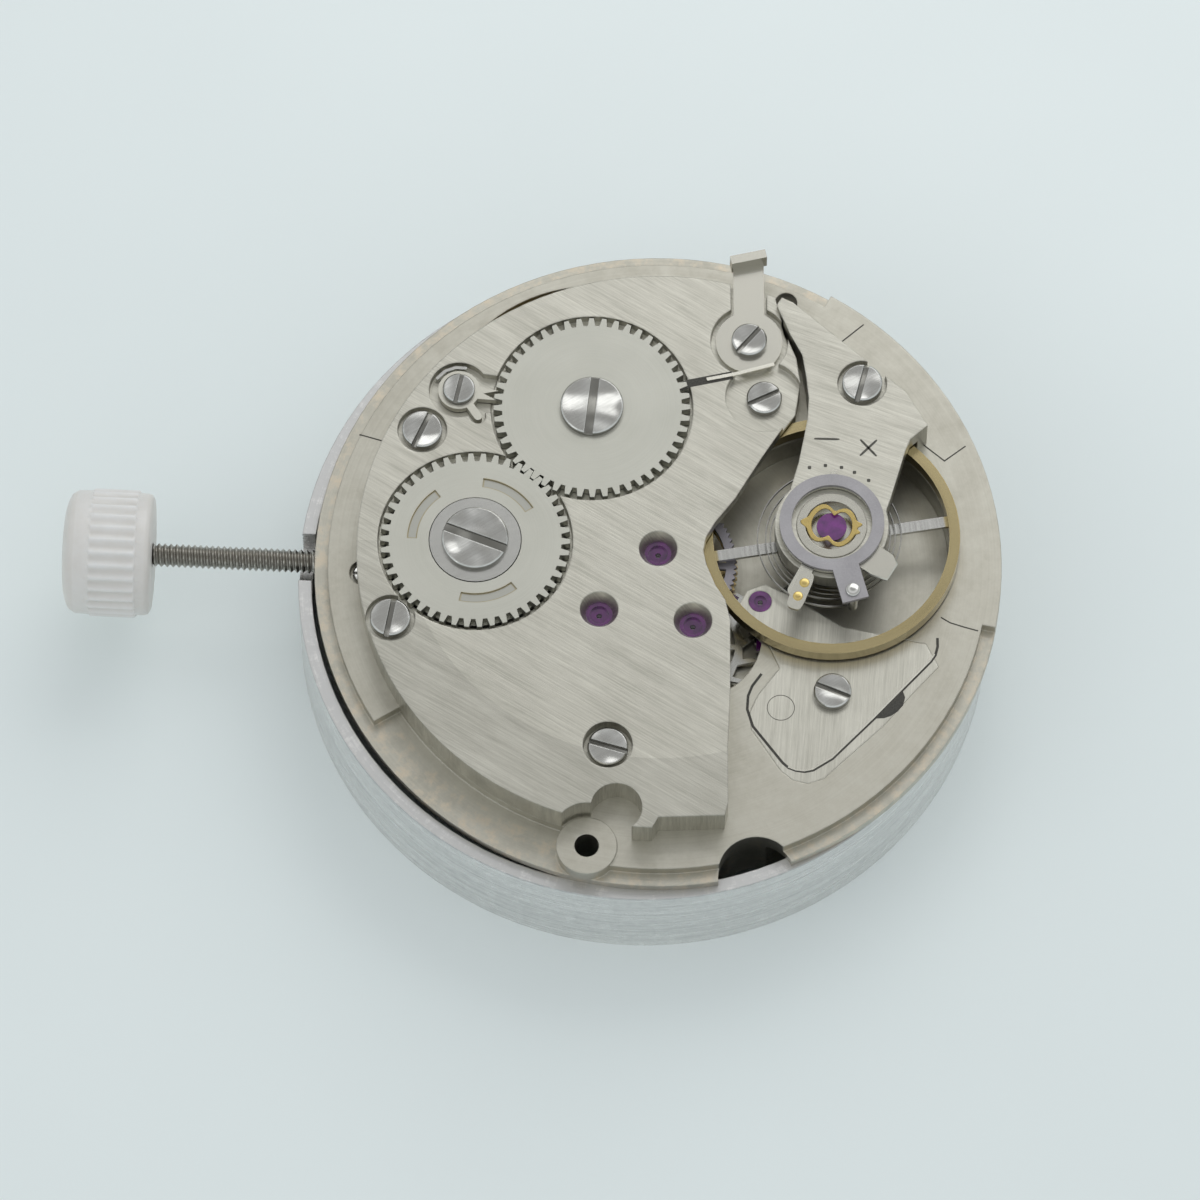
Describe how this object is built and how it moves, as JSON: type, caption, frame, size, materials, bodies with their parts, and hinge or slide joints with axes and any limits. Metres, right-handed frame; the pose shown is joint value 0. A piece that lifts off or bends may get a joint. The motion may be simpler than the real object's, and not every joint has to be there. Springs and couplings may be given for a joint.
{
  "type": "mechanical watch movement",
  "caption": "Hand-wound mechanical watch movement in a casing ring, bridge side up, with barrel, going train, lever escapement, balance, motion works and a long stem with crown.",
  "frame": {"origin": "on the hand axis, at the middle of the minute-hand seat on the dial side, 0.8 mm above the foot of the casing ring", "axes": "+Z out of the bridge side, along the hand axis; the winding stem and crown leave along -X; +Y completes the right-handed frame"},
  "size_m": [0.035, 0.026, 0.0074],
  "materials": {
    "ring_metal": "bright turned metal with fine turning lines",
    "nickel_plate": "nickel plated, brushed along one way",
    "polished_steel": "polished",
    "satin_steel": "satin with circular brushing",
    "grey_steel": "matt grey steel",
    "brass": "satin brass",
    "gilt": "polished pale gilt",
    "ruby": "polished synthetic ruby",
    "spring_alloy": "polished ribbon",
    "crown_plastic": "moulded white plastic"
  },
  "bodies": {
    "base": {"casing_ring": "ring_metal", "main_plate": "nickel_plate", "train_bridge": "nickel_plate", "balance_cock": "nickel_plate", "pallet_bridge": "nickel_plate", "bridge_screws": "polished_steel", "cock_screw": "polished_steel", "pallet_bridge_screw": "polished_steel", "case_clamp": "polished_steel", "clamp_screws": "polished_steel", "bridge_jewels": "ruby", "plate_jewels": "ruby", "pallet_bridge_jewel": "ruby", "shock_blocks": "brass", "cap_jewels": "ruby", "shock_springs": "gilt", "crown_wheel_core": "polished_steel", "crown_wheel_screw": "polished_steel", "click_screw": "polished_steel", "click_spring": "polished_steel", "setting_jumper": "polished_steel"},
    "centre": {"centre_wheel": "brass", "centre_pinion": "polished_steel"},
    "barrel": {"barrel_drum": "brass", "barrel_cover": "brass", "mainspring": "spring_alloy"},
    "third": {"third_wheel": "brass", "third_pinion": "polished_steel"},
    "fourth": {"fourth_wheel": "grey_steel", "fourth_pinion": "polished_steel"},
    "escape": {"escape_wheel": "polished_steel", "escape_pinion": "polished_steel"},
    "cannon": {"cannon_pinion": "polished_steel"},
    "minute": {"minute_wheel": "brass"},
    "hour": {"hour_wheel": "brass"},
    "setting": {"setting_wheel": "polished_steel"},
    "winding": {"winding_pinion": "polished_steel"},
    "stem": {"winding_stem": "polished_steel", "crown": "crown_plastic"},
    "clutch": {"sliding_pinion": "polished_steel"},
    "crown_gear": {"crown_wheel": "satin_steel"},
    "ratchet": {"ratchet_wheel": "satin_steel", "ratchet_screw": "polished_steel", "barrel_arbor": "polished_steel"},
    "detent": {"setting_lever": "polished_steel", "setting_lever_screw": "polished_steel"},
    "yoke": {"yoke": "polished_steel"},
    "click": {"click": "polished_steel"},
    "pallet": {"pallet_fork": "polished_steel", "pallet_stones": "ruby"},
    "balance": {"balance_wheel": "gilt", "balance_staff": "polished_steel", "roller_table": "brass", "impulse_jewel": "ruby", "hairspring_collet": "brass"},
    "index": {"regulator": "nickel_plate", "curb_pins": "polished_steel"},
    "stud": {"stud_carrier": "grey_steel", "hairspring_stud": "polished_steel", "hairspring": "spring_alloy"}
  },
  "joints": [
    {"name": "centre_spin", "type": "hinge", "parent": "base", "child": "centre", "pos_m": [0, 0, 0.0039], "axis": [0, 0, 1], "continuous": true},
    {"name": "barrel_spin", "type": "hinge", "parent": "base", "child": "barrel", "pos_m": [-0.00273, 0.00562, 0.003], "axis": [0, 0, 1], "continuous": true},
    {"name": "third_spin", "type": "hinge", "parent": "base", "child": "third", "pos_m": [-0.00207, -0.00256, 0.0042], "axis": [0, 0, 1], "continuous": true},
    {"name": "fourth_spin", "type": "hinge", "parent": "base", "child": "fourth", "pos_m": [0, 0, 0.0044], "axis": [0, 0, 1], "continuous": true},
    {"name": "escape_spin", "type": "hinge", "parent": "base", "child": "escape", "pos_m": [0.00142, -0.00284, 0.0035], "axis": [0, 0, 1], "continuous": true},
    {"name": "cannon_spin", "type": "hinge", "parent": "base", "child": "cannon", "pos_m": [0, 0, 0.0012], "axis": [0, 0, 1], "continuous": true},
    {"name": "minute_spin", "type": "hinge", "parent": "base", "child": "minute", "pos_m": [-0.00236, -0.00118, 0.0018], "axis": [0, 0, 1], "continuous": true},
    {"name": "hour_spin", "type": "hinge", "parent": "base", "child": "hour", "pos_m": [0, 0, 0.0016], "axis": [0, 0, 1], "continuous": true},
    {"name": "setting_spin", "type": "hinge", "parent": "base", "child": "setting", "pos_m": [-0.00554, -0.0009, 0.002], "axis": [0, 0, 1], "continuous": true},
    {"name": "winding_spin", "type": "hinge", "parent": "base", "child": "winding", "pos_m": [-0.0095, 0, 0.00331], "axis": [1, 0, 0], "continuous": true},
    {"name": "crown_wheel_spin", "type": "hinge", "parent": "base", "child": "crown_gear", "pos_m": [-0.0068, 0, 0.0056], "axis": [0, 0, 1], "continuous": true},
    {"name": "ratchet_spin", "type": "hinge", "parent": "base", "child": "ratchet", "pos_m": [-0.00273, 0.00562, 0.0056], "axis": [0, 0, 1], "continuous": true},
    {"name": "stem_pull", "type": "slide", "parent": "winding", "child": "stem", "axis": [-1, 0, 0], "range_m": [0, 0.0006]},
    {"name": "clutch_shift", "type": "slide", "parent": "winding", "child": "clutch", "axis": [1, 0, 0], "range_m": [0, 0.00046]},
    {"name": "detent_turn", "type": "hinge", "parent": "base", "child": "detent", "pos_m": [-0.01095, -0.0009, 0.0017], "axis": [0, 0, 1], "range_deg": [0, 39]},
    {"name": "yoke_turn", "type": "hinge", "parent": "base", "child": "yoke", "pos_m": [-0.0066, -0.0036, 0.0017], "axis": [0, 0, 1], "range_deg": [-9.5, 0]},
    {"name": "click_rock", "type": "hinge", "parent": "base", "child": "click", "pos_m": [-0.00773, 0.00613, 0.0057], "axis": [0, 0, 1], "range_deg": [0, 8], "stiffness_Nm_per_rad": 0.00001},
    {"name": "pallet_rock", "type": "hinge", "parent": "base", "child": "pallet", "pos_m": [0.00387, -0.00137, 0.0035], "axis": [0, 0, 1], "range_deg": [-5, 5]},
    {"name": "balance_swing", "type": "hinge", "parent": "base", "child": "balance", "pos_m": [0.0064, 0.00112, 0.005], "axis": [0, 0, 1], "range_deg": [-270, 270], "deforming": ["hairspring"]},
    {"name": "index_turn", "type": "hinge", "parent": "base", "child": "index", "pos_m": [0.0064, 0.00112, 0.0062], "axis": [0, 0, 1], "range_deg": [-15, 15]},
    {"name": "stud_turn", "type": "hinge", "parent": "base", "child": "stud", "pos_m": [0.0064, 0.00112, 0.0064], "axis": [0, 0, 1], "range_deg": [-15, 15]}
  ],
  "couplings": [
    {"joint": "barrel_spin", "follows": "centre_spin", "ratio": -0.14286},
    {"joint": "third_spin", "follows": "centre_spin", "ratio": -8},
    {"joint": "fourth_spin", "follows": "centre_spin", "ratio": 60},
    {"joint": "escape_spin", "follows": "centre_spin", "ratio": -600},
    {"joint": "cannon_spin", "follows": "centre_spin", "ratio": 1},
    {"joint": "minute_spin", "follows": "centre_spin", "ratio": -0.33333},
    {"joint": "hour_spin", "follows": "centre_spin", "ratio": 0.083333},
    {"joint": "setting_spin", "follows": "centre_spin", "ratio": 0.54545},
    {"joint": "crown_wheel_spin", "follows": "winding_spin", "ratio": 0.5},
    {"joint": "ratchet_spin", "follows": "winding_spin", "ratio": -0.47917},
    {"joint": "clutch_shift", "follows": "stem_pull", "ratio": 0.75},
    {"joint": "detent_turn", "follows": "stem_pull", "rad_per_m": 1111},
    {"joint": "yoke_turn", "follows": "stem_pull", "rad_per_m": -264.5}
  ]
}
